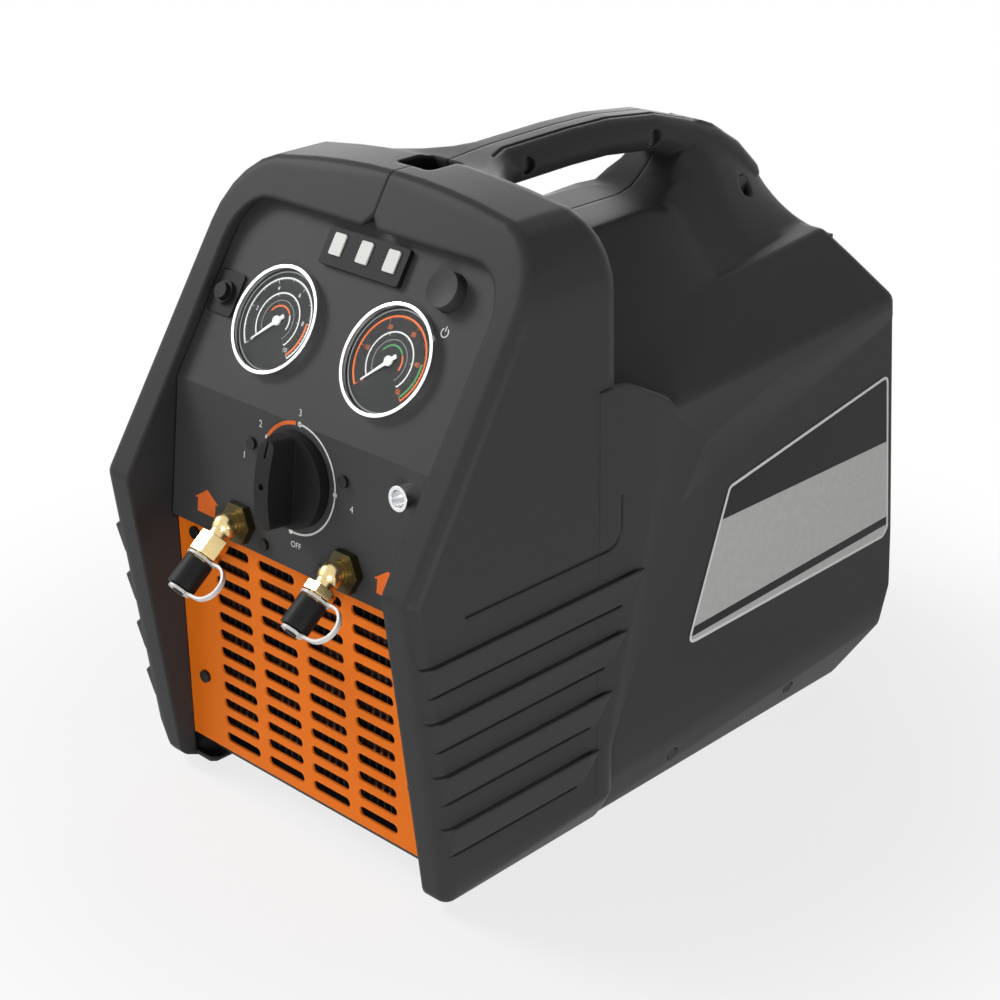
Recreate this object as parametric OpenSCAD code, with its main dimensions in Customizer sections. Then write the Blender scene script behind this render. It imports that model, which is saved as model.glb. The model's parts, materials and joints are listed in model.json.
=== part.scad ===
// Portable refrigerant recovery machine.
// X runs to the right, Y to the back and Z up, with the origin on the floor under the middle.
// The moulded casing is two halves that meet at X = 0.

/* [Housing] */
// Half width of the casing at the flat of its sides
half_width = 122.5; // [118:0.5:130]
// How far the side ribs stand proud of the casing
rib_out = 3; // [1:0.5:4]
// Depth in front of the origin, at the chin of the hood
chin_reach = 200; // [196:1:210]
// Height of the chin
chin_z = 188; // [180:1:196]
// Height of the hood at its middle
hood_height = 357; // [350:1:365]
// Lean of the hood's upper face from the vertical
hood_lean = 32.6; // [30:0.2:35]
// Lean of the hood's lower legs from the vertical
leg_lean = 7; // [4:0.5:9]
// Radius of the moulded edge round the hood
edge_r = 8; // [5:0.5:10]
// Depth behind the origin, at the back of the casing
rear_reach = 200; // [190:1:210]
// Wall of the moulded casing
wall = 3; // [2.5:0.5:4]
// Half width of the front opening in the hood
opening_half = 101; // [98:1:103]
// Height of the top of the front opening
opening_top = 331; // [326:1:334]

/* [Handle] */
// Half width of the carrying handle
handle_half = 18; // [15:1:21]
// Radius of the handle's moulded edges
handle_r = 11; // [9:1:12]
// Height of the floor of the finger gap
gap_floor = 306; // [295:1:308]

/* [Front panel] */
// Lean of the upper panel from the vertical
upper_tilt = 33; // [30:0.5:36]
// Lean of the lower panel from the vertical
lower_tilt = 7.4; // [5:0.2:10]
// Depth of the crease between the two panels in front of the origin
crease_reach = 159.6; // [157:0.2:162]
// Height of the crease between the two panels
crease_z = 238.3; // [236:0.5:241]
// Thickness of the panel
panel_t = 3; // [2:0.5:4]

/* [Gauges] */
// Diameter of a gauge's rim
gauge_d = 60; // [54:1:63]
// Distance of each gauge from the middle
gauge_x = 43; // [41:0.5:45]
// Distance of the gauges above the crease, along the panel
gauge_v = 46; // [43:0.5:49]
// Depth of a gauge's case behind the panel
gauge_depth = 26; // [20:1:30]

/* [Selector] */
// Diameter of the selector's skirt
knob_d = 51; // [46:1:56]
// Height of the selector's grip above the panel
knob_h = 24; // [20:1:30]
// Width of the selector's grip bar
grip_w = 11; // [9:1:14]
// Diameter of the selector's shaft
shaft_d = 10; // [8:0.5:12]
// Distance of the selector below the crease, along the panel
knob_drop = 29.2; // [28:0.2:31]

/* [Ports] */
// Distance of each hose port from the middle
port_x = 42.5; // [41:0.5:44]
// Distance of the ports below the crease, along the panel
port_drop = 66; // [65:0.5:67]
// Angle of the hose ports below the horizontal
port_dip = 38; // [32:1:42]
// Outer diameter of the flare thread
thread_d = 11.1; // [10.5:0.1:12]
// Outer diameter of a port cap
cap_d = 16; // [15:0.5:17]
// Length of a port cap
cap_l = 17; // [16:0.5:19]
// Running clearance between pieces that move
clearance = 0.3; // [0.2:0.05:0.5]

/* [Grille] */
// Thickness of the grille sheet
sheet_t = 1.5; // [1:0.1:2]
// Length of a grille slot
slot_l = 30; // [26:1:33]
// Height of a grille slot
slot_h = 6; // [5:0.5:7]
// Distance between slot columns
slot_pitch_x = 37.5; // [36:0.5:38]
// Distance between slot rows
slot_pitch_z = 11; // [10:0.5:11]
// Number of slot rows
slot_rows = 12; // [8:1:12]

/* [Cooling] */
// Diameter of the cooling fan
fan_d = 116; // [100:1:122]
// Number of fan blades
fan_blades = 7; // [5:1:9]
// Number of condenser fins
fin_count = 30; // [20:1:36]

/* [Compressor] */
// Diameter of the motor
motor_d = 108; // [96:1:114]
// Length of the motor
motor_l = 118; // [100:1:122]
// Bore of the compressor's cylinder barrels, outside
barrel_d = 56; // [48:1:60]

/* [Hidden] */
$fn = 48;

// Colours
charcoal = [0.16, 0.16, 0.17];
panel_grey = [0.27, 0.27, 0.28];
orange = [0.93, 0.42, 0.08];
steel = [0.72, 0.73, 0.75];
brass = [0.80, 0.62, 0.28];
copper = [0.72, 0.40, 0.24];
black = [0.07, 0.07, 0.08];
white = [0.94, 0.94, 0.92];
cast_grey = [0.52, 0.53, 0.55];

// Casing lines worked out from the driving sizes
chin_y = -chin_reach;
hood_rear_y = -46;
seam = 0.15;
cut_over = 1;
through = 40;
cut_reach = 10;
half_space = 300;
hood_top_drop = 6;
corner_r = 42;
side_draft = 0.022;
leg_foot_z = 27;
crease_y = -crease_reach;
opening_r = 24;
belly_z = 20;
skirt_z = 1.5;
belly_half = 90;
belly_in = 30;
belly_cut_h = 60;
grille_y = -166;
grille_top = 157;
facet = 20;
rear_y = rear_reach - edge_r;
belly_back = rear_y - belly_in;

// Front of the hood at a height
function front_y(z) = z > chin_z
    ? chin_y + (z - chin_z) * tan(hood_lean)
    : chin_y + (chin_z - z) * tan(leg_lean);
// Half width of the hood at a height, narrowing a little above the chin
function hood_half(z) = half_width - max(0, z - chin_z) * side_draft;
// Right half of the arch that the hood shows from the front, moved in by a distance
function arch_half(in) =
    let (
        top = hood_height - hood_top_drop - in,
        side = hood_half(top - corner_r) - in,
        r = corner_r - in,
        centre = [side - r, top - r]
    )
    concat(
        [[hood_half(chin_z) - in, leg_foot_z], [hood_half(chin_z) - in, chin_z]],
        [for (a = [0 : 15 : 90]) centre + r * [cos(a), sin(a)]],
        [for (t = [0.75, 0.5, 0.25, 0]) [t * centre[0], hood_height - in - hood_top_drop * t * t]]
    );

// Moves children from the panel's own plane, with z out of the panel, to the front
module on_upper(x = 0, v = 0) {
    translate([0, crease_y, crease_z])
        rotate([90 - upper_tilt, 0, 0])
            translate([x, v, 0])
                children();
}
module on_lower(x = 0, drop = 0) {
    translate([0, crease_y, crease_z])
        rotate([90 - lower_tilt, 0, 0])
            translate([x, -drop, 0])
                children();
}
// Profile in Y and Z drawn out along X
module along_x(x0, x1) {
    translate([x0, 0, 0])
        rotate([90, 0, 90])
            linear_extrude(x1 - x0)
                children();
}
// Profile in X and Z drawn out along Y
module along_y(y0, y1) {
    translate([0, y1, 0])
        rotate([90, 0, 0])
            linear_extrude(y1 - y0)
                children();
}
module both_sides(x) {
    for (side = [-1, 1])
        translate([side * x, 0, 0])
            children();
}
module obround(length, height) {
    hole = height / 2;
    square([length - height, height], center = true);
    for (side = [-1, 1])
        translate([side * (length - height) / 2, 0])
            circle(hole);
}
module rounded_rect(size, r) {
    for (turn = [0, 1])
        square([size[0] - 2 * r * turn, size[1] - 2 * r * (1 - turn)], center = true);
    for (sx = [-1, 1], sy = [-1, 1])
        translate([sx * (size[0] / 2 - r), sy * (size[1] / 2 - r)])
            circle(r);
}

// Casing

// Lower corners of the hood: distance in from the side, depth behind the chin and height over the floor
toe = [22, 45, 0];
shin = [12, 31, 6];
heel = [20, 0, 0];
chin_round = 1.25;
rear_edge_r = 14;
module hood_ball(x, y, z, r) {
    both_sides(x)
        translate([0, y, z])
            sphere(r, $fn = facet);
}
module hood_form(in) {
    r = edge_r - in / 2;
    rear_r = rear_edge_r - in / 2;
    hull() {
        for (p = arch_half(edge_r + in / 2))
            hood_ball(p[0], front_y(p[1]) + edge_r * chin_round + in, p[1], r);
        for (p = arch_half(rear_edge_r + in / 2))
            hood_ball(p[0], hood_rear_y - rear_r - in, p[1], rear_r);
        hood_ball(half_width - toe[0] - in, chin_y + toe[1], toe[2] + r + in, r);
        hood_ball(half_width - shin[0] - in, chin_y + shin[1], shin[2] + r + in, r);
        hood_ball(half_width - heel[0] - in, hood_rear_y - r - in, heel[2] + r + in, r);
    }
}

// Half widths and heights across the casing behind the hood, at its front and at its back
waist_section = [[101, 8], [107, 28], [110, 62], [110, 100], [107, 206], [104, 230], [70, 250]];
back_section = [[98, 8], [112, 36], [117, 62], [116, 96], [108, 205], [106, 240], [82, 257], [62, 268]];
// Front end of the shoulder line, where it leaves the hood's cheek
shoulder_start = [113, -8, 233];
waist_y = hood_rear_y - 20;
body_r = 8;
body_wall = wall + 4.5;
// How far a faceted ball of a radius reaches from its centre
function ball_reach(r) = r * cos(180 / facet);
inner_r = body_r - body_wall / 2;
middle_z = 150;
sole_z = 30;
sole_back = 22;
crown_z = 250;
crown_back = 4;
// Section point moved in from the outside
function drawn_in(p, in) = [p[0] - in / 2, p[1] + (p[1] > middle_z ? -1 : 1) * in / 2];
// How far the back leans forward at a height
function back_lean(z) = z < sole_z ? sole_back : z > crown_z ? crown_back : 0;
module body_form(in) {
    r = body_r - in / 2;
    hull() {
        for (p = waist_section)
            hood_ball(drawn_in(p, in)[0], waist_y + in, drawn_in(p, in)[1], r);
        for (p = back_section)
            hood_ball(drawn_in(p, in)[0], rear_y - in / 2 - back_lean(p[1]), drawn_in(p, in)[1], r);
        hood_ball(shoulder_start[0] - in / 2, shoulder_start[1], shoulder_start[2] - in / 2, r);
    }
}

// Top of the casing behind the hood: a floor under the handle, a pillar behind it and hollow flanks
tank_front = -60;
tank_back = 193;
tank_stations = [tank_front, -20, 20, 60, 82, 92, 100, 108, 116, 124, 132, 140, 150, 160,
                 172, 182, 189, tank_back];
tank_columns = 28;
tank_base_z = 226;
pillar_rise = [[tank_front, 1], [82, 1], [92, 3], [100, 8], [108, 15], [116, 23], [124, 31], [132, 36],
               [140, 35], [150, 31], [160, 25], [172, 16], [182, 7], [189, 1], [tank_back, -5]];
function spine_z(y) = gap_floor + lookup(y, pillar_rise);
function spine_half(y) = lookup(y, [[tank_front, 33], [82, 33], [124, 14], [tank_back, 9]]);
function flank_half(y) = lookup(y, [[tank_front, 114], [0, 108], [tank_back, 70]]);
function shoulder_z(y) = lookup(y, [[tank_front, 236], [0, 243], [tank_back, 273]]);
function flank_hollow(y) = lookup(y, [[tank_front, 1.15], [60, 1.35], [124, 2], [tank_back, 2.2]]);
function flank_share(x, y) = max(0, min(1, (abs(x) - spine_half(y)) / (flank_half(y) - spine_half(y))));
function tank_z(x, y) =
    shoulder_z(y) + (spine_z(y) - shoulder_z(y)) * pow(1 - flank_share(x, y), flank_hollow(y));
module tank_top(in) {
    rows = len(tank_stations);
    columns = tank_columns + 1;
    shorten = 1 - 2 * in / (tank_back - tank_front);
    function station_y(i) = tank_front + (tank_stations[i] - tank_front) * shorten;
    function column_x(j, y) = (flank_half(y) - in) * (2 * j / tank_columns - 1);
    upper = [for (i = [0 : rows - 1], j = [0 : tank_columns])
        let (y = station_y(i), x = column_x(j, y)) [x, y, tank_z(x, y) - in]];
    lower = [for (p = upper) [p[0], p[1], tank_base_z - in]];
    below = len(upper);
    last = rows - 1;
    function cell(i, j) = i * columns + j;
    polyhedron(
        points = concat(upper, lower),
        faces = concat(
            [for (i = [0 : last - 1], j = [0 : tank_columns - 1]) each [
                [cell(i, j), cell(i + 1, j), cell(i + 1, j + 1)],
                [cell(i, j), cell(i + 1, j + 1), cell(i, j + 1)]
            ]],
            [for (i = [0 : last - 1], j = [0 : tank_columns - 1]) each [
                [below + cell(i, j), below + cell(i + 1, j + 1), below + cell(i + 1, j)],
                [below + cell(i, j), below + cell(i, j + 1), below + cell(i + 1, j + 1)]
            ]],
            [for (j = [0 : tank_columns - 1]) each [
                [cell(0, j), cell(0, j + 1), below + cell(0, j + 1), below + cell(0, j)],
                [cell(last, j + 1), cell(last, j), below + cell(last, j), below + cell(last, j + 1)]
            ]],
            [for (i = [0 : last - 1]) each [
                [cell(i + 1, 0), cell(i, 0), below + cell(i, 0), below + cell(i + 1, 0)],
                [cell(i, tank_columns), cell(i + 1, tank_columns),
                 below + cell(i + 1, tank_columns), below + cell(i, tank_columns)]
            ]]
        )
    );
}

// Cheek of the hood that runs back to a slanting line and ramps down to the casing
cheek_edge = [[-11, 241], [-59, 60], [-67, 31]];
ramp_edge = [[22, 209], [-21, 142], [-36, 87], [-57, 31]];
cheek_depth = 9;
cheek_foot = 27;
cheek_top = 262;
ramp_top = [-6, 241];
cheek_skin = 0.5;
module cheek() {
    front = [[waist_y, cheek_foot], [waist_y, cheek_top]];
    hull() {
        along_x(half_width - cheek_skin, half_width)
            polygon(concat(front, [[hood_rear_y, cheek_top]], cheek_edge));
        along_x(half_width - cheek_depth, half_width - cheek_depth + cheek_skin)
            polygon(concat(front, [ramp_top], ramp_edge));
    }
}

// Side ribs, each a wedge with a sharp upper edge that runs out lower down
rib_tops = [154.5, 122.5, 90.5, 58.5];
rib_ends = [-34, -47, -58, -68];
rib_fall = 17;
rib_chisel = 9;
rib_skin = 1;
rib_start = 3;
rib_corner = 3;
rib_run_in = [6, 4];
module side_rib(i) {
    top = rib_tops[i];
    front = front_y(top) + rib_start;
    hull() {
        translate([half_width - edge_r, front, top - rib_skin])
            cube([edge_r + rib_out - rib_corner, rib_skin, rib_skin]);
        translate([half_width + rib_out - rib_skin, front + rib_run_in[0], top - rib_skin])
            cube([rib_skin, rib_ends[i] - front - rib_run_in[0], rib_skin]);
        translate([half_width - rib_skin, front + rib_run_in[1], top - rib_fall])
            cube([rib_skin, rib_ends[i] - rib_chisel - front - rib_run_in[1], rib_skin]);
        translate([half_width - edge_r, front + rib_skin, top - rib_fall])
            cube(rib_skin);
    }
}
// Groove along the foot of each rib
rib_groove = [1.6, 1.4];
rib_groove_short = 5;
module rib_foot(i) {
    front = front_y(rib_tops[i]) - cut_reach;
    translate([half_width - rib_groove[0], front, rib_tops[i] - rib_fall - rib_groove[1]])
        cube([cut_reach, rib_ends[i] - rib_chisel - rib_groove_short - front, rib_groove[1]]);
}
// Groove in two runs, joined by a round corner, behind and under the bare place on each side
place_front = -163;
place_rear = -48;
place_foot = 172;
place_top = 201;
place_r = 12;
place_groove = [2.2, 1.4];
module place_edge() {
    width = place_groove[0];
    along_x(half_width - place_groove[1], half_width + cut_reach) {
        translate([place_front, place_foot])
            square([place_rear - place_r - place_front, width]);
        translate([place_rear - width, place_foot + place_r])
            square([width, place_top - place_foot - place_r]);
        intersection() {
            translate([place_rear - place_r, place_foot + place_r])
                difference() {
                    circle(place_r);
                    circle(place_r - width);
                }
            translate([place_rear - place_r, place_foot])
                square([place_r, place_r]);
        }
    }
}

// Handle: depth and height of the middle of the grip along its spine, and how much wider it is there
handle_stations = [[-60, 344, 32], [-46, 344, 17], [-34, 345, 6], [-20, 346, 0], [30, 347, 0], [60, 346.5, 0],
                   [98, 342, 0], [128, 333, 0], [150, 325, 0], [168, 314, 0], [184, 299, 0]];
handle_last = len(handle_stations) - 1;
module handle_knot(i) {
    station = handle_stations[i];
    hood_ball(handle_half - handle_r + station[2], station[0], station[1], handle_r);
}
module handle()
    for (i = [0 : handle_last - 1])
        hull() {
            handle_knot(i);
            handle_knot(i + 1);
        }
// Fine groove along the top of the grip, between its flat top and its round side
grip_groove = [1.6, 1.4];
grip_groove_ends = [2, 8];
module grip_line()
    for (i = [grip_groove_ends[0] : grip_groove_ends[1] - 1])
        hull()
            for (k = [i, i + 1])
                translate([
                    handle_half - handle_r + handle_stations[k][2] + grip_groove[0],
                    handle_stations[k][0],
                    handle_stations[k][1] + handle_r - grip_groove[1]
                ])
                    cube([grip_groove[0], 0.1, 2 * grip_groove[1]]);

// Recess in each side for the rating plate: its edge on the casing and its smaller leaning floor
recess_edge = [[22, 210], [206, 255], [206, 40], [-48, 40], [-35, 87], [-21, 142], [2, 181]];
recess_floor = [[38, 186], [206, 231], [206, 52], [-14, 60]];
recess_depth = 6;
recess_lean = 3.72;
recess_toe = -0.23;
recess_foot_x = 126.2;
recess_wall = 2.4;
recess_skin = 0.2;
module plate_recess() {
    translate([recess_foot_x, 0, 0])
        rotate([0, -recess_lean, recess_toe])
            hull() {
                along_x(0, recess_skin)
                    polygon(recess_floor);
                along_x(recess_depth, recess_depth + cut_reach)
                    polygon(recess_edge);
            }
}

// Space in front of the panel, inside the hood's frame
brow_notch = 6;
opening_back = -60;
module front_opening() {
    along_y(chin_y - cut_reach, opening_back)
        polygon(concat(
            [[-opening_half, -1], [opening_half, -1]],
            [for (a = [0 : 15 : 90])
                [opening_half - opening_r, opening_top - opening_r] + opening_r * [cos(a), sin(a)]],
            [[brow_notch, opening_top], [0, opening_top + brow_notch], [-brow_notch, opening_top]],
            [for (a = [90 : 15 : 180])
                [opening_r - opening_half, opening_top - opening_r] + opening_r * [cos(a), sin(a)]]
        ));
}
// Points on the face of the panels, from the upper edge to the lower edge
panel_top_v = 118;
panel_foot = 79;
function upper_point(v, out) =
    [crease_y + v * sin(upper_tilt) - out * cos(upper_tilt),
     crease_z + v * cos(upper_tilt) + out * sin(upper_tilt)];
function lower_point(drop, out) =
    [crease_y - drop * sin(lower_tilt) - out * cos(lower_tilt),
     crease_z - drop * cos(lower_tilt) + out * sin(lower_tilt)];
// Everything behind a face that lies a distance out of the panels and the grille
module behind_face(out) {
    along_x(-half_space, half_space)
        polygon([
            upper_point(half_space, out), upper_point(0, out), lower_point(panel_foot, out),
            [grille_y - out, grille_top], [grille_y - out, -cut_reach],
            [half_space, -cut_reach], [half_space, 2 * half_space]
        ]);
}
module inner_space() {
    difference() {
        intersection() {
            union() {
                hood_form(wall);
                body_form(body_wall);
                tank_top(body_wall);
                along_y(chin_y - cut_reach, belly_back)
                    translate([0, belly_z])
                        square([2 * belly_half, belly_cut_h], center = true);
            }
            behind_face(0);
        }
        translate([-pocket / 2 - wall, pocket_y - pocket / 2 - wall, hood_height - pocket_depth - wall])
            cube([pocket + 2 * wall, pocket + 2 * wall, pocket_depth + 2 * wall]);
        for (side = [0, 1])
            mirror([side, 0, 0])
                translate([-recess_wall, 0, 0])
                    plate_recess();
    }
}
// Square pocket in the top of the hood
pocket = 26;
pocket_y = -64;
pocket_depth = 18;
pocket_r = 4;
module top_pocket() {
    translate([0, pocket_y, hood_height - pocket_depth])
        linear_extrude(pocket_depth + cut_reach)
            rounded_rect([pocket, pocket], pocket_r);
}
// Screws that draw the halves together: place of each one's seat and radius of its hole
shell_screw_places = [[12, -9, 346, 4.8], [12, 93, 340.5, 5.2], [23, 161, 300.5, 6]];
// Screws low on each side that hold the base
low_screw_places = [[110.5, 7, 19, 4], [110.5, 113, 19, 4]];
module screw_seats(places, depth, gap = 0)
    for (p = places)
        translate([p[0], p[1], p[2]])
            rotate([0, 90, 0])
                cylinder(r = p[3] - gap, h = depth);
// Opening in the back for the rear panel
rear_panel_size = [184, 168];
rear_panel_lap = [8, 9];
rear_opening = rear_panel_size - 2 * rear_panel_lap;
rear_opening_z = 128;
rear_opening_r = 12;
module rear_cut() {
    along_y(rear_y - through, rear_reach + cut_reach)
        translate([0, rear_opening_z])
            rounded_rect(rear_opening, rear_opening_r);
}
module shell(side) {
    difference() {
        intersection() {
            union() {
                hood_form(0);
                body_form(0);
                tank_top(0);
                handle();
                mirror([side < 0 ? 1 : 0, 0, 0]) {
                    cheek();
                    for (i = [0 : len(rib_tops) - 1])
                        side_rib(i);
                }
            }
            translate([side > 0 ? seam : -half_space - seam, -half_space, skirt_z])
                cube([half_space, 2 * half_space, 2 * half_space]);
        }
        inner_space();
        difference() {
            front_opening();
            behind_face(-cut_over);
        }
        top_pocket();
        rear_cut();
        mirror([side < 0 ? 1 : 0, 0, 0]) {
            plate_recess();
            place_edge();
            for (i = [0 : len(rib_tops) - 1])
                rib_foot(i);
            grip_line();
            screw_seats(low_screw_places, through);
        }
        if (side > 0)
            screw_seats(shell_screw_places, through);
        rear_screw_spots()
            cylinder(r = screw_r + clearance, h = through, center = true, $fn = 16);
    }
}
module left_shell() color(charcoal) shell(-1);
module right_shell() color(charcoal) shell(1);
// Pan head screw that stands on z = 0
screw_r = 1.8;
head_r = 3.6;
head_h = 2;
merge = 0.1;
module pan_screw(shank_l, head = head_r, rise = head_h) {
    cylinder(r = head, h = rise);
    translate([0, 0, -shank_l])
        cylinder(r = screw_r, h = shank_l + merge);
}
seat_head_h = 2.5;
module shell_screws() color(black) {
    screw_seats(shell_screw_places, seat_head_h, clearance);
    for (side = [0, 1])
        mirror([side, 0, 0])
            screw_seats(low_screw_places, seat_head_h, clearance);
}

// Base

tray_t = 2;
tray_half = 94;
tray_front = -155;
tray_back = 160;
tray_z = waist_section[0][1] + body_wall / 2 - ball_reach(inner_r);
tray_top = tray_z + tray_t;
tray_screw_x = 90.3;
tray_screw_ys = [-120, 0, 120];
foot_r = 9;
foot_x = 78;
foot_ys = [-118, 138];
module tray_screw_spots() {
    for (side = [-1, 1], y = tray_screw_ys)
        translate([side * tray_screw_x, y, tray_top])
            children();
}
module base_tray() color(black)
    difference() {
        translate([-tray_half, tray_front, tray_z])
            cube([2 * tray_half, tray_back - tray_front, tray_t]);
        tray_screw_spots()
            cylinder(r = screw_r + clearance, h = through, center = true);
    }
module tray_screws() color(steel)
    tray_screw_spots()
        pan_screw(tray_t);
module rubber_feet() color(black)
    for (side = [-1, 1], y = foot_ys)
        translate([side * foot_x, y, 0])
            cylinder(r = foot_r, h = tray_z);

// Front panel and grille

panel_half = 106;
panel_corner_r = 30;
knob_hole_r = shaft_d / 2 + clearance;
gauge_lap = 3;
gauge_hole_r = gauge_d / 2 - gauge_lap;
indicator_v = 92;
indicator_size = [60, 20.5];
indicator_pitch = 20.3;
indicator_window = [8.5, 12];
indicator_lift = 1.6;
indicator_back = [53, 15.4];
button_x = 63;
button_v = 88;
button_r = 10;
breaker_x = -88.5;
breaker_v = 51;
breaker_plate = [20, 24];
breaker_r = 4.5;
breaker_wall = 2;
socket_x = 84;
socket_drop = 13;
socket_r = 6.5;
socket_wall = 2;
stub_r = 6.3;
valve_screw_places = [[-36, 20], [36, 20], [-22.5, 72.5], [22.5, 72.5]];
valve_screw_l = 9;
valve_head_r = 3.2;
module both_gauges()
    for (side = [-1, 1])
        on_upper(side * gauge_x, gauge_v)
            children();
module front_panel() color(panel_grey)
    difference() {
        union() {
            on_upper()
                translate([0, 0, -panel_t])
                    linear_extrude(panel_t)
                        difference() {
                            translate([0, panel_top_v / 2 - panel_corner_r / 2])
                                rounded_rect([2 * panel_half, panel_top_v + panel_corner_r], panel_corner_r);
                            translate([-panel_half - 1, -2 * panel_corner_r])
                                square([2 * panel_half + 2, 2 * panel_corner_r]);
                        }
            on_lower()
                translate([-panel_half, -panel_foot, -panel_t])
                    cube([2 * panel_half, panel_foot, panel_t]);
        }
        both_gauges()
            cylinder(r = gauge_hole_r, h = through, center = true);
        on_upper(0, indicator_v + indicator_lift)
            linear_extrude(through, center = true)
                square(indicator_back + 2 * [clearance, clearance], center = true);
        on_upper(button_x, button_v)
            cylinder(r = button_r + clearance, h = through, center = true);
        on_upper(breaker_x, breaker_v)
            cylinder(r = breaker_r + breaker_wall, h = through, center = true);
        on_lower(socket_x, socket_drop)
            cylinder(r = socket_r - socket_wall, h = through, center = true);
        on_lower(0, knob_drop)
            cylinder(r = knob_hole_r, h = through, center = true);
        for (side = [-1, 1])
            on_lower(side * port_x, port_drop)
                cylinder(r = stub_r + clearance, h = through, center = true);
        for (p = valve_screw_places)
            on_lower(p[0], p[1])
                cylinder(r = screw_r + clearance, h = through, center = true);
    }
grille_half = 106;
grille_screw_x = 86;
grille_head_h = 2.2;
grille_screw_zs = [152, 62];
slot_top = 150;
grille_back = grille_y + sheet_t;
module grille_screw_spots()
    for (side = [-1, 1], z = grille_screw_zs)
        translate([side * grille_screw_x, grille_y, z])
            rotate([90, 0, 0])
                children();
module front_grille() color(orange)
    difference() {
        along_y(grille_y, grille_back)
            difference() {
                translate([-grille_half, belly_z])
                    square([2 * grille_half, grille_top - belly_z]);
                for (column = [-1.5 : 1 : 1.5], row = [0 : slot_rows - 1])
                    translate([column * slot_pitch_x, slot_top - row * slot_pitch_z])
                        obround(slot_l, slot_h);
            }
        grille_screw_spots()
            cylinder(r = screw_r + clearance, h = through, center = true);
    }
module grille_screws() color(steel)
    grille_screw_spots()
        pan_screw(sheet_t + flange[1], rise = grille_head_h);

// Back

rear_wall_y = rear_y - body_wall / 2 + ball_reach(inner_r);
rear_panel_t = 1.5;
rear_panel_back = rear_wall_y;
rear_panel_r = 8;
rear_screw_in = [4, 5];
rear_screw_over = 2;
rear_screw_x = rear_panel_size[0] / 2 - rear_screw_in[0];
rear_screw_z = rear_panel_size[1] / 2 - rear_screw_in[1];
vent_rows = 8;
vent_pitch = 9;
vent_size = [62, 5];
vent_x = 38;
vent_top = 62;
inlet_in = 40;
inlet_x = rear_panel_size[0] / 2 - inlet_in;
inlet_z = 76;
inlet_size = [28, 20];
inlet_flange = [50, 26];
inlet_flange_t = 2.5;
inlet_depth = 24;
inlet_bore = 15;
inlet_wall = 2;
inlet_r = 3;
module rear_screw_spots()
    for (side = [-1, 1], up = [-1, 1])
        translate([side * rear_screw_x, rear_reach, rear_opening_z + up * rear_screw_z])
            rotate([-90, 0, 0])
                children();
module rear_panel() color(black)
    difference() {
        along_y(rear_panel_back - rear_panel_t, rear_panel_back)
            difference() {
                translate([0, rear_opening_z])
                    rounded_rect(rear_panel_size, rear_panel_r);
                for (side = [-1, 1], row = [0 : vent_rows - 1])
                    translate([side * vent_x, rear_opening_z + vent_top - row * vent_pitch])
                        obround(vent_size[0], vent_size[1]);
                translate([inlet_x, inlet_z])
                    rounded_rect(inlet_size + 2 * [clearance, clearance], inlet_r);
            }
        rear_screw_spots()
            cylinder(r = screw_r + clearance, h = through, center = true);
    }
module rear_panel_screws() color(steel)
    rear_screw_spots()
        pan_screw(body_wall + rear_panel_t + rear_screw_over);
module power_inlet() color(black)
    difference() {
        union() {
            along_y(rear_panel_back, rear_panel_back + inlet_flange_t)
                translate([inlet_x, inlet_z])
                    rounded_rect(inlet_flange, 2 * inlet_r);
            along_y(rear_panel_back - inlet_depth, rear_panel_back + cut_over)
                translate([inlet_x, inlet_z])
                    rounded_rect(inlet_size, inlet_r);
        }
        along_y(rear_panel_back - inlet_bore, rear_panel_back + cut_reach)
            translate([inlet_x, inlet_z])
                rounded_rect(inlet_size - 2 * [inlet_wall, inlet_wall], inlet_r - cut_over);
    }

// Gauges

dial_t = 0.8;
dial_z = 0.2;
glass_z = 3;
glass_t = 1.2;
rim_h = 4.6;
rim_w = 1.8;
case_r = gauge_hole_r - clearance;
dial_r = gauge_d / 2 - rim_w - clearance / 2;
needle_t = 0.6;
needle_l = 19;
needle_rest = 225;
pivot_r = 1;
pivot_l = 8;
needle_hub = [2.6, 1.2];
needle_tail = 5;
needle_half = [1.1, 0.3];
module gauge_case() color(black)
    difference() {
        translate([0, 0, -gauge_depth])
            cylinder(r = case_r, h = gauge_depth + dial_z);
        translate([0, 0, -pivot_l - cut_over])
            cylinder(r = pivot_r + clearance, h = through);
    }
module gauge_dial() color(black)
    translate([0, 0, dial_z])
        difference() {
            cylinder(r = dial_r, h = dial_t);
            cylinder(r = pivot_r + clearance, h = through, center = true);
        }
module gauge_needle() color(white)
    translate([0, 0, dial_z + dial_t + clearance]) {
        translate([0, 0, -pivot_l])
            cylinder(r = pivot_r, h = pivot_l + needle_t / 2);
        cylinder(r = needle_hub[0], h = needle_hub[1]);
        rotate(needle_rest)
            linear_extrude(needle_t)
                polygon([
                    [-needle_tail, -needle_half[0]], [needle_l, -needle_half[1]],
                    [needle_l, needle_half[1]], [-needle_tail, needle_half[0]]
                ]);
    }
module low_gauge_case() on_upper(-gauge_x, gauge_v) gauge_case();
module high_gauge_case() on_upper(gauge_x, gauge_v) gauge_case();
module low_gauge_dial() on_upper(-gauge_x, gauge_v) gauge_dial();
module high_gauge_dial() on_upper(gauge_x, gauge_v) gauge_dial();
module low_gauge_needle() on_upper(-gauge_x, gauge_v) gauge_needle();
module high_gauge_needle() on_upper(gauge_x, gauge_v) gauge_needle();
module gauge_bezels() color(steel)
    both_gauges()
        difference() {
            cylinder(r = gauge_d / 2, h = rim_h);
            cylinder(r = gauge_d / 2 - rim_w, h = through, center = true);
        }
module gauge_lenses() color([0.85, 0.9, 0.95, 0.4])
    both_gauges()
        translate([0, 0, glass_z])
            cylinder(r = dial_r, h = glass_t);

// Controls on the upper panel

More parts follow.
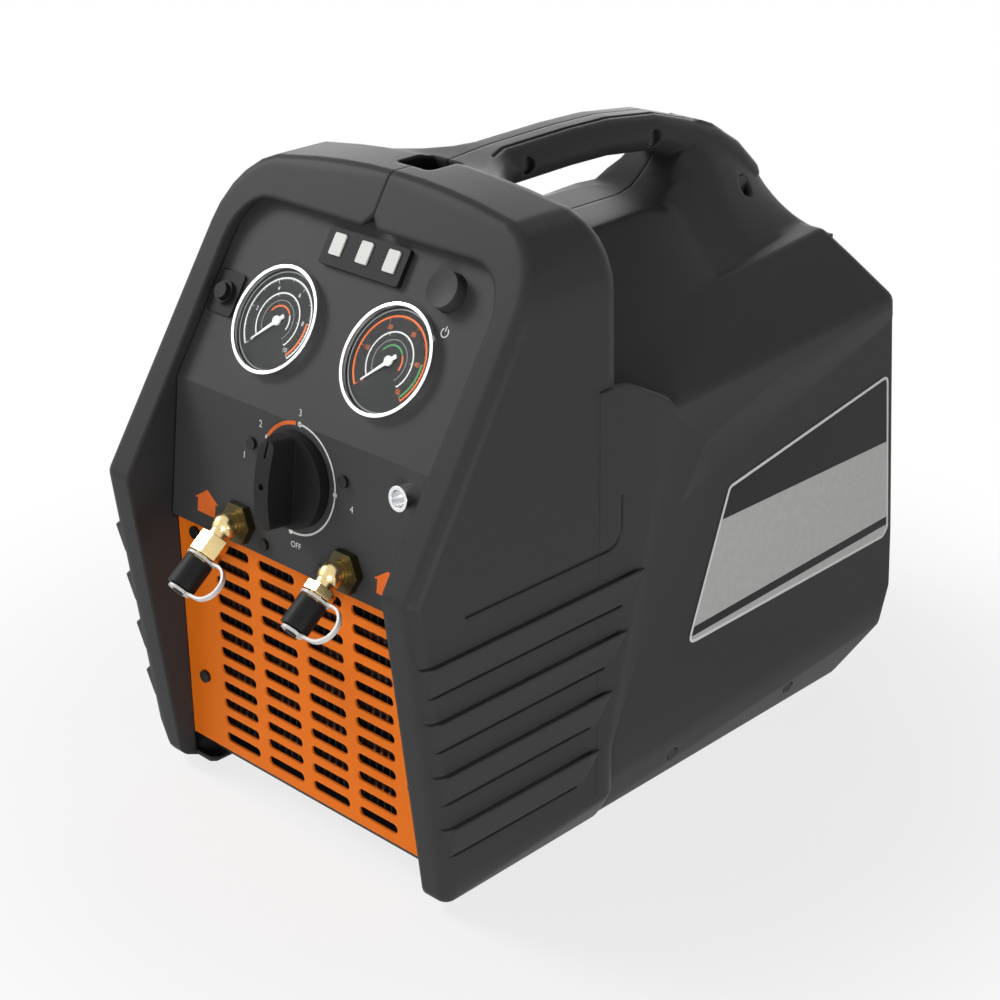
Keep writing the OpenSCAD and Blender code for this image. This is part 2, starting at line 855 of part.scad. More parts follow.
lens_proud = 0.8;
lens_deep = 5;
lens_r = 1;
indicator_proud = 3;
indicator_deep = 8;
frame_r = 2;
module indicator_spots()
    on_upper(0, indicator_v)
        for (i = [-1 : 1])
            translate([i * indicator_pitch, indicator_lift, 0])
                children();
module indicator_frame() color(black)
    difference() {
        on_upper(0, indicator_v) {
            linear_extrude(indicator_proud)
                rounded_rect(indicator_size, frame_r);
            translate([0, indicator_lift, -indicator_deep])
                linear_extrude(indicator_deep + cut_over)
                    square(indicator_back, center = true);
        }
        indicator_spots()
            translate([0, 0, -lens_deep])
                linear_extrude(through)
                    square(indicator_window + [clearance, clearance], center = true);
    }
module indicator_lenses() color(white)
    indicator_spots()
        translate([0, 0, -lens_deep])
            linear_extrude(lens_deep + indicator_proud + lens_proud)
                rounded_rect(indicator_window, lens_r);
button_proud = 7.5;
button_travel = 2.5;
button_slack = 1;
button_well = 8;
button_dish = 1.4;
dish_r = 40;
switch_l = 22;
switch_wall = 3;
module power_switch_body() color(black)
    on_upper(button_x, button_v)
        difference() {
            translate([0, 0, -panel_t - switch_l])
                cylinder(r = button_r + switch_wall, h = switch_l);
            translate([0, 0, -panel_t - button_well])
                cylinder(r = button_r + clearance, h = through);
        }
module power_button() color(panel_grey) {
    foot = -panel_t - button_well + button_travel + button_slack;
    on_upper(button_x, button_v)
        difference() {
            translate([0, 0, foot])
                cylinder(r = button_r, h = button_proud - foot);
            translate([0, 0, button_proud - button_dish + dish_r])
                sphere(r = dish_r, $fn = 96);
        }
}
breaker_plate_t = 1.5;
breaker_collar = 3.5;
breaker_l = 30;
breaker_bore = 12;
breaker_in = 10;
breaker_out = 6;
module breaker_body() color(black)
    on_upper(breaker_x, breaker_v)
        difference() {
            union() {
                linear_extrude(breaker_plate_t)
                    rounded_rect(breaker_plate, frame_r);
                translate([0, 0, -breaker_l])
                    cylinder(r = breaker_r + breaker_wall - clearance, h = breaker_l + cut_over);
                cylinder(r = breaker_r + breaker_wall, h = breaker_collar);
            }
            translate([0, 0, -breaker_bore])
                cylinder(r = breaker_r + clearance, h = through);
        }
module breaker_button() color(black)
    on_upper(breaker_x, breaker_v)
        translate([0, 0, -breaker_in])
            cylinder(r = breaker_r, h = breaker_in + breaker_out);

// Valve, selector and ports on the lower panel

block_half = 62;
block_drop = [8, 77];
block_t = 30;
socket_out = 9;
socket_in = 12;
socket_floor = 1;
shaft_bore = 22;
stub_bore = 18;
valve_screw_bore = 12;
module sensor_socket() color(steel)
    on_lower(socket_x, socket_drop)
        difference() {
            union() {
                cylinder(r = socket_r, h = socket_out);
                translate([0, 0, -socket_in])
                    cylinder(r = socket_r - socket_wall - clearance, h = socket_in + cut_over);
            }
            translate([0, 0, socket_floor])
                cylinder(r = socket_r - socket_wall, h = through);
        }
module valve_block() color(cast_grey)
    difference() {
        on_lower()
            translate([-block_half, -block_drop[1], -panel_t - block_t])
                cube([2 * block_half, block_drop[1] - block_drop[0], block_t]);
        on_lower(0, knob_drop)
            translate([0, 0, -panel_t - shaft_bore])
                cylinder(r = knob_hole_r, h = through);
        for (side = [-1, 1])
            on_lower(side * port_x, port_drop)
                translate([0, 0, -panel_t - stub_bore])
                    cylinder(r = stub_r + clearance, h = through);
        for (p = valve_screw_places)
            on_lower(p[0], p[1])
                translate([0, 0, -panel_t - valve_screw_bore])
                    cylinder(r = screw_r + clearance, h = through);
    }
module valve_screws() color(black)
    for (p = valve_screw_places)
        on_lower(p[0], p[1])
            pan_screw(panel_t + valve_screw_l, valve_head_r);
knob_lift = 0.6;
skirt_h = 6;
shaft_in = 20;
shaft_out = 15;
module selector_shaft() color(steel)
    on_lower(0, knob_drop)
        translate([0, 0, -panel_t - shaft_in])
            cylinder(d = shaft_d, h = panel_t + shaft_in + shaft_out);
grip_l = 48;
grip_crown_r = 80.5;
grip_top_drop = 3.5;
grip_mark = [1.6, 9, 4];
grip_hole_r = 1.8;
shaft_fit = 0.1;
module selector_knob() color(black)
    on_lower(0, knob_drop)
        difference() {
            union() {
                translate([0, 0, knob_lift])
                    cylinder(d = knob_d, h = skirt_h);
                translate([0, 0, knob_lift + skirt_h / 2])
                    intersection() {
                        linear_extrude(knob_h - knob_lift - skirt_h / 2)
                            rounded_rect([grip_w, grip_l], grip_w / 2.2);
                        translate([0, 0, knob_h - grip_top_drop - grip_crown_r])
                            rotate([0, 90, 0])
                                cylinder(r = grip_crown_r, h = 2 * knob_d, center = true, $fn = 96);
                    }
            }
            cylinder(r = shaft_d / 2 + shaft_fit, h = 2 * (shaft_out + shaft_fit), center = true);
            translate([-grip_mark[0] / 2, grip_l / 2 - grip_mark[1], knob_h - grip_mark[2]])
                cube([grip_mark[0], through, through]);
            translate([0, 0, knob_h - grip_mark[2]])
                cylinder(r = grip_hole_r, h = through);
        }
nut_r = 12;
nut_t = 5;
elbow_z = 11;
elbow_r = 7.2;
neck_l = 9;
groove_l = 3.4;
thread_l = 11;
hex_r = 8.8;
inlet_hex_l = 11;
outlet_hex_l = 4;
stub_l = 16;
neck_r = 5.6;
groove_r = 5;
port_bore_r = 2.4;
module port_nuts() color([0.30, 0.29, 0.18])
    for (side = [-1, 1])
        on_lower(side * port_x, port_drop)
            difference() {
                cylinder(r = nut_r, h = nut_t, $fn = 6);
                cylinder(r = stub_r + shaft_fit, h = through, center = true);
            }
// Moves children to a port's slanting part, with z along the port
module on_port(side) {
    on_lower(side * port_x, port_drop)
        translate([0, 0, elbow_z])
            rotate([port_dip + lower_tilt, 0, 0])
                children();
}
module fitting(side, hex_l) color(brass) {
    on_lower(side * port_x, port_drop) {
        translate([0, 0, -panel_t - stub_l])
            cylinder(r = stub_r, h = panel_t + stub_l + elbow_z);
        translate([0, 0, elbow_z])
            sphere(elbow_r);
    }
    on_port(side)
        difference() {
            union() {
                cylinder(r = neck_r, h = neck_l);
                translate([0, 0, neck_l - cut_over])
                    cylinder(r = hex_r, h = hex_l + cut_over, $fn = 6);
                cylinder(r = groove_r, h = neck_l + hex_l + groove_l);
                translate([0, 0, neck_l + hex_l + groove_l - merge])
                    cylinder(d = thread_d, h = thread_l);
            }
            translate([0, 0, neck_l + hex_l])
                cylinder(r = port_bore_r, h = through);
        }
}
module inlet_fitting() fitting(-1, inlet_hex_l);
module outlet_fitting() fitting(1, outlet_hex_l);
cap_bore_l = thread_l + 1;
cap_stud_r = 3.2;
cap_stud_l = 3;
module port_cap(side, hex_l) color(black)
    on_port(side)
        translate([0, 0, neck_l + hex_l + groove_l])
            difference() {
                union() {
                    cylinder(d = cap_d, h = cap_l);
                    translate([0, 0, cap_l - merge])
                        cylinder(r = cap_stud_r, h = cap_stud_l + merge);
                }
                translate([0, 0, -cut_over])
                    cylinder(d = thread_d + 2 * clearance, h = cap_bore_l + cut_over);
            }
module inlet_cap() port_cap(-1, inlet_hex_l);
module outlet_cap() port_cap(1, outlet_hex_l);
strap_w = 1.4;
strap_t = 1.5;
strap_reach = 24;
strap_ring = 3;
strap_over = 1;
// Moulded strap: a ring on the neck, a loop to the side and a ring on the cap's stud
module port_strap(side, hex_l) color(white)
    on_port(side)
        translate([0, 0, neck_l + hex_l + (groove_l - strap_w) / 2]) {
            span = cap_l + cap_stud_l / 2 + groove_l / 2;
            difference() {
                union() {
                    cylinder(d = cap_d + strap_over, h = strap_w);
                    translate([0, -strap_w, 0])
                        cube([strap_reach - span / 2, 2 * strap_w, strap_t]);
                }
                cylinder(d = thread_d + 2 * clearance, h = cut_reach, center = true);
            }
            difference() {
                union() {
                    translate([0, 0, span])
                        cylinder(r = cap_stud_r + strap_ring, h = strap_t);
                    translate([0, -strap_w, span])
                        cube([strap_reach - span / 2, 2 * strap_w, strap_t]);
                }
                translate([0, 0, span])
                    cylinder(r = cap_stud_r + clearance, h = cut_reach, center = true);
            }
            translate([strap_reach - span / 2, strap_w, (span + strap_t) / 2])
                rotate([90, 0, 0])
                    linear_extrude(2 * strap_w)
                        difference() {
                            circle((span + strap_t) / 2);
                            circle((span - strap_t) / 2);
                            translate([-2 * span, -span])
                                square(2 * span);
                        }
        }
module inlet_strap() port_strap(-1, inlet_hex_l);
module outlet_strap() port_strap(1, outlet_hex_l);

// Cooling

coil_depth = 26;
coil_half = 78;
coil_z = [28, 150];
coil_rows = 5;
coil_pitch = 23;
coil_row_z = 43;
tube_r = 4.6;
tube_columns = [-6.5, 6.5];
fin_t = 0.8;
flange = [18, 3];
coil_y = grille_back + flange[1] + coil_depth / 2;
module condenser_fins() color(cast_grey) {
    for (i = [0 : fin_count - 1])
        translate([-coil_half + 2 * coil_half * i / (fin_count - 1), 0, 0])
            along_x(-fin_t / 2, fin_t / 2)
                difference() {
                    translate([coil_y - coil_depth / 2, coil_z[0]])
                        square([coil_depth, coil_z[1] - coil_z[0]]);
                    for (column = tube_columns, row = [0 : coil_rows - 1])
                        translate([coil_y + column, coil_row_z + row * coil_pitch])
                            circle(tube_r + 0.1);
                }
    for (side = [-1, 1])
        difference() {
            translate([
                side * (coil_half + (fin_t + flange[0]) / 2) - flange[0] / 2, grille_back, coil_z[0]
            ])
                cube([flange[0], flange[1], grille_screw_zs[0] + 5 - coil_z[0]]);
            grille_screw_spots()
                cylinder(r = screw_r + clearance, h = through, center = true);
        }
}
module condenser_coil() color(copper) {
    for (column = tube_columns, row = [0 : coil_rows - 1])
        translate([0, coil_y + column, coil_row_z + row * coil_pitch])
            rotate([0, 90, 0])
                cylinder(r = tube_r, h = 2 * coil_half + 6, center = true);
    for (side = [-1, 1], row = [0 : coil_rows - 1])
        translate([side * (coil_half + 3), coil_y, coil_row_z + row * coil_pitch])
            rotate([0, 0, side > 0 ? 0 : 180])
                rotate([0, 0, -90])
                    rotate_extrude(angle = 180)
                        translate([tube_columns[1], 0])
                            circle(tube_r);
}
fan_z = 89;
shroud_y = coil_y + coil_depth / 2 + clearance;
shroud_t = 3;
shroud_depth = 22;
shroud_half = 80;
fan_gap = 3;
hub_r = 20;
fan_y = shroud_y + 6;
fan_w = 14;
fan_shaft_r = 4;
fan_motor_r = 27;
fan_motor_l = 34;
fan_motor_y = fan_y + fan_w + 4;
strut_w = 9;
module fan_shroud() color(black)
    difference() {
        union() {
            along_y(shroud_y, shroud_y + shroud_t)
                translate([-shroud_half, tray_top])
                    square([2 * shroud_half, coil_z[1] - tray_top]);
            translate([0, shroud_y, fan_z])
                rotate([-90, 0, 0])
                    cylinder(r = fan_d / 2 + fan_gap + 3, h = shroud_depth);
        }
        translate([0, shroud_y - 1, fan_z])
            rotate([-90, 0, 0])
                cylinder(r = fan_d / 2 + fan_gap, h = shroud_depth + 2);
    }
module fan_motor() color(steel)
    difference() {
        union() {
            translate([0, fan_motor_y, fan_z])
                rotate([-90, 0, 0])
                    cylinder(r = fan_motor_r, h = fan_motor_l);
            intersection() {
                translate([0, shroud_y + shroud_depth, fan_z])
                    for (turn = [0 : 120 : 240])
                        rotate([0, turn, 0])
                            translate([-strut_w / 2, 0, 0])
                                cube([strut_w, 3, fan_d]);
                translate([0, shroud_y, fan_z])
                    rotate([-90, 0, 0])
                        cylinder(r = fan_d / 2 + fan_gap + 3, h = 80);
            }
        }
        translate([0, fan_motor_y - 5, fan_z])
            rotate([-90, 0, 0])
                cylinder(r = fan_shaft_r + clearance, h = fan_motor_l);
    }
module fan() color(black)
    translate([0, fan_y, fan_z])
        rotate([-90, 0, 0]) {
            cylinder(r = hub_r, h = fan_w);
            cylinder(r = fan_shaft_r, h = fan_motor_y - fan_y + 20);
            intersection() {
                for (i = [0 : fan_blades - 1])
                    rotate(i * 360 / fan_blades)
                        translate([0, 0, fan_w / 2])
                            rotate([32, 0, 0])
                                translate([hub_r - 4, -16, -0.8])
                                    cube([fan_d / 2, 32, 1.6]);
                cylinder(d = fan_d, h = fan_w);
            }
        }

// Compressor

drive_z = 112;
motor_y = 44;
case_size = [92, 72, 92];
barrel_l = 30;
head_l = 20;
head_size = [66, 66];
head_fins = 4;
case_front = motor_y - case_size[1];
drive_y = case_front + case_size[1] / 2;
module motor() color(cast_grey)
    translate([0, motor_y, drive_z])
        rotate([-90, 0, 0])
            difference() {
                union() {
                    cylinder(d = motor_d, h = motor_l - 16);
                    translate([0, 0, motor_l - 16])
                        cylinder(d = motor_d - 8, h = 16);
                }
                for (turn = [0 : 30 : 330])
                    rotate(turn)
                        translate([motor_d / 2, 0, 12])
                            cylinder(r = 4, h = motor_l - 40);
            }
module crankcase() color(cast_grey) {
    translate([-case_size[0] / 2, case_front, drive_z - case_size[2] / 2])
        cube(case_size);
    for (side = [-1, 1])
        translate([side * case_size[0] / 2, drive_y, drive_z])
            rotate([0, side * 90, 0])
                cylinder(d = barrel_d, h = barrel_l);
}
module cylinder_heads() color(steel)
    for (side = [-1, 1])
        translate([side * (case_size[0] / 2 + barrel_l), drive_y, drive_z])
            rotate([0, side * 90, 0])
                difference() {
                    linear_extrude(head_l)
                        rounded_rect(head_size, 8);
                    for (i = [0 : head_fins - 1])
                        translate([-head_size[0], -26 + i * 15.5, 8])
                            cube([2 * head_size[0], 5, head_l]);
                }
bracket_half = 56;
bracket_z = 21;
bracket_t = 4;
bracket_front = case_front + 4;
bracket_back = motor_y + motor_l - 20;
mount_r = 11;
mount_x = 46;
module motor_bracket() color(steel)
    difference() {
        union() {
            translate([-bracket_half, bracket_front, bracket_z])
                cube([2 * bracket_half, bracket_back - bracket_front, bracket_t]);
            for (y = [motor_y + 14, motor_y + motor_l - 40])
                translate([-38, y, bracket_z])
                    cube([76, 10, drive_z - bracket_z - 24]);
            translate([-30, case_front + 8, bracket_z])
                cube([60, case_size[1] - 16, drive_z - case_size[2] / 2 - bracket_z]);
        }
        translate([0, motor_y, drive_z])
            rotate([-90, 0, 0])
                cylinder(d = motor_d + 0.4, h = motor_l);
    }
module rubber_mounts() color(black)
    for (side = [-1, 1], y = [bracket_front + 16, bracket_back - 16])
        translate([side * mount_x, y, tray_top])
            cylinder(r = mount_r, h = bracket_z - tray_top);

// Electrical pieces

capacitor_r = 19;
capacitor_x = -78;
capacitor_y = [50, 128];
module capacitor() color(steel)
    translate([capacitor_x, capacitor_y[0], tray_top + capacitor_r + 0.2])
        rotate([-90, 0, 0])
            cylinder(r = capacitor_r, h = capacitor_y[1] - capacitor_y[0]);
board_size = [96, 62];
board_y = rear_panel_back - rear_panel_t - 16;
module control_board() color([0.10, 0.32, 0.16]) {
    translate([-board_size[0] / 2, board_y, 136])
        cube([board_size[0], 1.6, board_size[1]]);
    for (side = [-1, 1], z = [142, 192])
        translate([side * (board_size[0] / 2 - 42), board_y + 1, z])
            rotate([-90, 0, 0])
                cylinder(r = 3, h = 15);
    translate([-30, board_y - 9, 168])
        cube([22, 9.5, 20]);
    translate([6, board_y - 11, 166])
        cube([26, 11.5, 26]);
}

// Lines: each is a round tube through a list of points
module tube(points, r) {
    for (i = [0 : len(points) - 2]) {
        step = points[i + 1] - points[i];
        length = norm(step);
        translate(points[i])
            rotate([0, acos(step[2] / length), atan2(step[1], step[0])])
                cylinder(r = r, h = length);
    }
    for (i = [1 : len(points) - 2])
        translate(points[i])
            sphere(1.15 * r);
}
line_r = 3.2;
head_x = case_size[0] / 2 + barrel_l + head_l / 2;
head_top = drive_z + head_size[0] / 2 + 0.2;
line_drop = 43;
line_in = 34;
block_back = panel_t + block_t + clearance;
function block_exit(x, drop) = concat([x], lower_point(drop, -block_back));
function line_points(side) =
    let (
        start = block_exit(side * 40, line_drop),
        bend = start + [0, line_in, 0],
        over = [side * head_x, drive_y, start[2]]
    )
    [start, bend, over, [over[0], over[1], head_top]];
module suction_line() color(copper) tube(line_points(-1), line_r);
module discharge_line() color(copper) tube(line_points(1), line_r);
capillary_r = 1.5;
capillary_drop = 16;
gauge_back = gauge_depth + clearance;
module gauge_lines() color(copper)
    for (side = [-1, 1])
        tube([
            block_exit(side * 30, capillary_drop),
            block_exit(side * 30, capillary_drop) + [0, 22, 0],
            concat([side * gauge_x], upper_point(gauge_v, -gauge_back - 16)),
            concat([side * gauge_x], upper_point(gauge_v, -gauge_back))
        ], capillary_r);

// Draws the casing's datum so that the origin lies under the middle of the whole
centre_shift = 7.2;
module placed()
    translate([0, centre_shift, 0])
        children();

placed() left_shell();
placed() right_shell();
placed() shell_screws();
placed() base_tray();
placed() tray_screws();
placed() rubber_feet();
placed() front_panel();
placed() front_grille();
placed() grille_screws();
placed() rear_panel();
placed() rear_panel_screws();
placed() low_gauge_case();
placed() low_gauge_dial();
placed() low_gauge_needle();
placed() high_gauge_case();
placed() high_gauge_dial();
placed() high_gauge_needle();
placed() gauge_bezels();
placed() gauge_lenses();
placed() indicator_frame();
placed() indicator_lenses();
placed() power_switch_body();
placed() power_button();
placed() breaker_body();
placed() breaker_button();
placed() sensor_socket();
placed() valve_block();
placed() valve_screws();
placed() selector_shaft();
placed() selector_knob();
placed() inlet_fitting();
placed() outlet_fitting();
placed() port_nuts();
placed() inlet_strap();
placed() inlet_cap();
placed() outlet_strap();
placed() outlet_cap();
placed() condenser_fins();
placed() condenser_coil();
placed() fan_shroud();
placed() fan_motor();
placed() fan();
placed() motor();
placed() crankcase();
placed() cylinder_heads();
placed() motor_bracket();
placed() rubber_mounts();
placed() capacitor();
placed() control_board();
placed() power_inlet();
placed() suction_line();
placed() discharge_line();
placed() gauge_lines();
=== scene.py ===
import json
import math

import bmesh
import bpy
from mathutils import Matrix, Vector

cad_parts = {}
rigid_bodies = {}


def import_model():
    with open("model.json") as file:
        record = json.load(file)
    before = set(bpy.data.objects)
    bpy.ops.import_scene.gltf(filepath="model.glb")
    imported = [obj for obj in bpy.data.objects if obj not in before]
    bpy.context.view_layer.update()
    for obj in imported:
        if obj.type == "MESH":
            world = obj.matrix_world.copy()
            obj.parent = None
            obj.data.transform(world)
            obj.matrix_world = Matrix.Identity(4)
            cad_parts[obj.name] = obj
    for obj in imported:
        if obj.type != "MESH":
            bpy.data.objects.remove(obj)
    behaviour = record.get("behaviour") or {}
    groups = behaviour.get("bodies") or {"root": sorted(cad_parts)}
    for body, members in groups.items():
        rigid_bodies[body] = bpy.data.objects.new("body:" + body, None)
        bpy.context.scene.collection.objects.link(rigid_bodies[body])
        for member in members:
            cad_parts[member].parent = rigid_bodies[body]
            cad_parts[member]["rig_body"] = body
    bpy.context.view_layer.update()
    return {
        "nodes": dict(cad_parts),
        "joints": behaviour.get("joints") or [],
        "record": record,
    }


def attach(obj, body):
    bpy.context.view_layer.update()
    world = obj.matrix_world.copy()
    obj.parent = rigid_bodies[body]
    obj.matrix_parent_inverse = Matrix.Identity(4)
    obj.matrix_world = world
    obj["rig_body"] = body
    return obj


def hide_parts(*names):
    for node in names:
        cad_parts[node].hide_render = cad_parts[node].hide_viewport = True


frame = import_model()
nodes = frame["nodes"]
joints = {joint["name"]: joint for joint in frame["joints"]}
slot_of_node = {part["node"]: part["material_slot"] for part in frame["record"]["subparts"]}

MM = 0.001
# Height of printed marks above the face that carries them
PRINT = 0.06 * MM


# Finishes

def linear(r, g, b):
    """A colour written as it looks on a screen, 0 to 255, as the linear values that shaders take."""
    def channel(value):
        value /= 255
        return value / 12.92 if value <= 0.04045 else ((value + 0.055) / 1.055) ** 2.4
    return (channel(r), channel(g), channel(b), 1.0)


# How deep the grain of a surface is, and by what share it moves the roughness
GRAIN_DEPTH = 0.2 * MM
ROUGH_SPREAD = 0.1
LEAST_ROUGH = 0.02
GRAIN_DETAIL = 3.0
BEVEL_SAMPLES = 8
# Radius at which the shading rounds the edges of the casing, and of all other pieces
EDGE_SOFT = 3.0 * MM
EDGE_FINE = 0.4 * MM


def finish(name, colour, roughness, metallic=0.0, grain=2500.0, vary=0.12, bump=0.05, bevel=0.0, **sockets):
    """A surface with a fine grain that moves its colour, its roughness and its bump a little."""
    material = bpy.data.materials.new(name)
    material.use_nodes = True
    tree = material.node_tree
    shader = tree.nodes["Principled BSDF"]
    shader.inputs["Metallic"].default_value = metallic
    for socket, value in sockets.items():
        shader.inputs[socket.replace("_", " ")].default_value = value
    place = tree.nodes.new("ShaderNodeTexCoord")
    noise = tree.nodes.new("ShaderNodeTexNoise")
    noise.inputs["Scale"].default_value = grain
    noise.inputs["Detail"].default_value = GRAIN_DETAIL
    tree.links.new(place.outputs["Object"], noise.inputs["Vector"])
    tint = tree.nodes.new("ShaderNodeMix")
    tint.data_type = "RGBA"
    tint.inputs["A"].default_value = [channel * (1 - vary) for channel in colour[:3]] + [1.0]
    tint.inputs["B"].default_value = [min(1.0, channel * (1 + vary)) for channel in colour[:3]] + [1.0]
    tree.links.new(noise.outputs["Fac"], tint.inputs["Factor"])
    tree.links.new(tint.outputs["Result"], shader.inputs["Base Color"])
    spread = tree.nodes.new("ShaderNodeMapRange")
    spread.inputs["To Min"].default_value = max(LEAST_ROUGH, roughness * (1 - ROUGH_SPREAD))
    spread.inputs["To Max"].default_value = min(1.0, roughness * (1 + ROUGH_SPREAD))
    tree.links.new(noise.outputs["Fac"], spread.inputs["Value"])
    tree.links.new(spread.outputs["Result"], shader.inputs["Roughness"])
    relief = tree.nodes.new("ShaderNodeBump")
    relief.inputs["Strength"].default_value = bump
    relief.inputs["Distance"].default_value = GRAIN_DEPTH
    tree.links.new(noise.outputs["Fac"], relief.inputs["Height"])
    tree.links.new(relief.outputs["Normal"], shader.inputs["Normal"])
    if bevel:
        edge = tree.nodes.new("ShaderNodeBevel")
        edge.samples = BEVEL_SAMPLES
        edge.inputs["Radius"].default_value = bevel
        tree.links.new(edge.outputs["Normal"], relief.inputs["Normal"])
    return material


# Strength of the reflections on a common coat and on a dull one
COMMON = 0.5
DULL = 0.15


def plastic(name, colour, roughness, specular, bump=0.10, bevel=EDGE_FINE):
    """A moulded plastic with weak reflections."""
    return finish(name, colour, roughness, bump=bump, bevel=bevel, Specular_IOR_Level=specular)


def metal(name, colour, roughness, grain, vary, metallic=1.0, bump=0.05, bevel=EDGE_FINE):
    """A bare or plated metal."""
    return finish(name, colour, roughness, metallic, grain, vary, bump, bevel)


def paint(name, colour, roughness, grain, vary=0.12, bump=0.05, bevel=EDGE_FINE, specular=COMMON):
    """A smooth coloured coat."""
    return finish(
        name, colour, roughness, grain=grain, vary=vary, bump=bump, bevel=bevel, Specular_IOR_Level=specular
    )


def ink(name, colour, vary=0.04):
    """A printed colour."""
    return finish(name, colour, 0.6, vary=vary, bump=0.0)


# A thin lens that hardly bends or reflects
CLEAR = {"Transmission_Weight": 1.0, "IOR": 1.08}
# One finish for each material slot of the record
finishes = {
    "casing": plastic("casing", linear(58, 58, 59), 0.44, 0.1, bevel=EDGE_SOFT),
    "panel": plastic("panel", linear(66, 66, 67), 0.52, DULL),
    "black_plastic": plastic("black_plastic", linear(28, 28, 30), 0.5, DULL, bump=0.03),
    "white_plastic": paint("white_plastic", linear(222, 221, 217), 0.35, 2500, vary=0.03, bump=0.02),
    "orange_paint": paint("orange_paint", linear(252, 126, 28), 0.45, 1400, vary=0.05, specular=DULL),
    "black_paint": paint("black_paint", linear(38, 38, 40), 0.5, 1400),
    "motor_paint": paint("motor_paint", linear(62, 64, 66), 0.55, 700, bump=0.15, bevel=0.0),
    "dial": finish("dial", linear(28, 28, 29), 0.7, vary=0.08),
    "needle": finish("needle", linear(240, 240, 238), 0.45, vary=0.03),
    "chrome": metal("chrome", linear(232, 233, 234), 0.2, 2500, 0.03, bump=0.01),
    "steel": metal("steel", linear(190, 191, 193), 0.32, 900, 0.08),
    "black_screw": metal("black_screw", linear(30, 30, 31), 0.4, 2500, 0.12, metallic=0.4),
    "brass": metal("brass", linear(228, 204, 148), 0.24, 700, 0.10),
    "olive_nut": metal("olive_nut", linear(78, 70, 44), 0.34, 700, 0.18, metallic=0.9),
    "copper": metal("copper", linear(196, 122, 86), 0.3, 600, 0.10, bevel=0.0),
    "cast_metal": metal("cast_metal", linear(168, 170, 172), 0.5, 800, 0.10, 0.9, bump=0.12, bevel=0.0),
    "rubber": finish("rubber", linear(30, 30, 30), 0.8, bump=0.10),
    "glass": finish("glass", linear(250, 252, 252), 0.03, vary=0.01, bump=0.0, **CLEAR),
    "board": finish("board", linear(24, 92, 52), 0.45, grain=500, vary=0.15),
}
# Painted shade: the condenser fins are coloured near black for the dark inside behind the grille, not for a
# coat they have
fins_painted_shade = finish("fins_painted_shade", linear(26, 26, 27), 0.6, grain=900, vary=0.2)
plate_silver = metal("plate_silver", linear(176, 176, 174), 0.4, 260, 0.12, 0.25, bump=0.0, bevel=0.0)
plate_dark = paint("plate_dark", linear(34, 34, 35), 0.4, 400, bump=0.0, bevel=0.0, specular=DULL)
print_white = ink("print_white", linear(226, 226, 224), vary=0.03)
print_orange = ink("print_orange", linear(240, 112, 34))
print_green = ink("print_green", linear(70, 150, 88))
print_grey = ink("print_grey", linear(150, 150, 150))

for name, piece in nodes.items():
    piece.data.materials.clear()
    piece.data.materials.append(finishes[slot_of_node[name]])
# The condenser fins take the near-black painted shade instead of their own metal colour
nodes["condenser_fins"].data.materials[0] = fins_painted_shade
nodes["grille_screws"].data.materials[0] = finishes["black_screw"]


# Smooth shading of the casing: its flat faces stay flat, and its round ones look round

SMOOTH_ANGLE = math.radians(50)
# Faces that lean less than this to each other count as one
FLAT_ANGLE = math.radians(0.4)
WELD = 0.01 * MM


def smooth_copy(node):
    """A copy of a node's mesh, welded and shaded smooth, that stands for the node."""
    mesh = nodes[node].data.copy()
    mesh.name = node + "_dressed"
    bm = bmesh.new()
    bm.from_mesh(mesh)
    bmesh.ops.remove_doubles(bm, verts=bm.verts, dist=WELD)
    bmesh.ops.dissolve_limit(bm, angle_limit=FLAT_ANGLE, verts=bm.verts, edges=bm.edges)
    for face in bm.faces:
        face.smooth = True
    for edge in bm.edges:
        edge.smooth = len(edge.link_faces) == 2 and edge.calc_face_angle(math.pi) < SMOOTH_ANGLE
    bm.to_mesh(mesh)
    bm.free()
    piece = bpy.data.objects.new(node + "_dressed", mesh)
    bpy.context.scene.collection.objects.link(piece)
    weighted = piece.modifiers.new("even shading", "WEIGHTED_NORMAL")
    weighted.keep_sharp = True
    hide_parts(node)
    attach(piece, nodes[node]["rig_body"])


for half in ("left_shell", "right_shell"):
    smooth_copy(half)


# Frames on the two faces of the panel, with z out of the panel and y up along it

def panel_frame(joint_name):
    """The frame at a joint on the panel, which has that joint's axis as its z."""
    joint = joints[joint_name]
    out = Vector(joint["axis"]).normalized()
    across = Vector((1, 0, 0))
    up = out.cross(across)
    turn = Matrix((across, up, out)).transposed().to_4x4()
    return Matrix.Translation(joint["pos_m"]) @ turn


low_gauge = panel_frame("low_needle_turn")
high_gauge = panel_frame("high_needle_turn")
selector = panel_frame("selector_turn")


# Printed marks

# Degrees that one straight stretch of a printed arc spans
ARC_STEP = 4


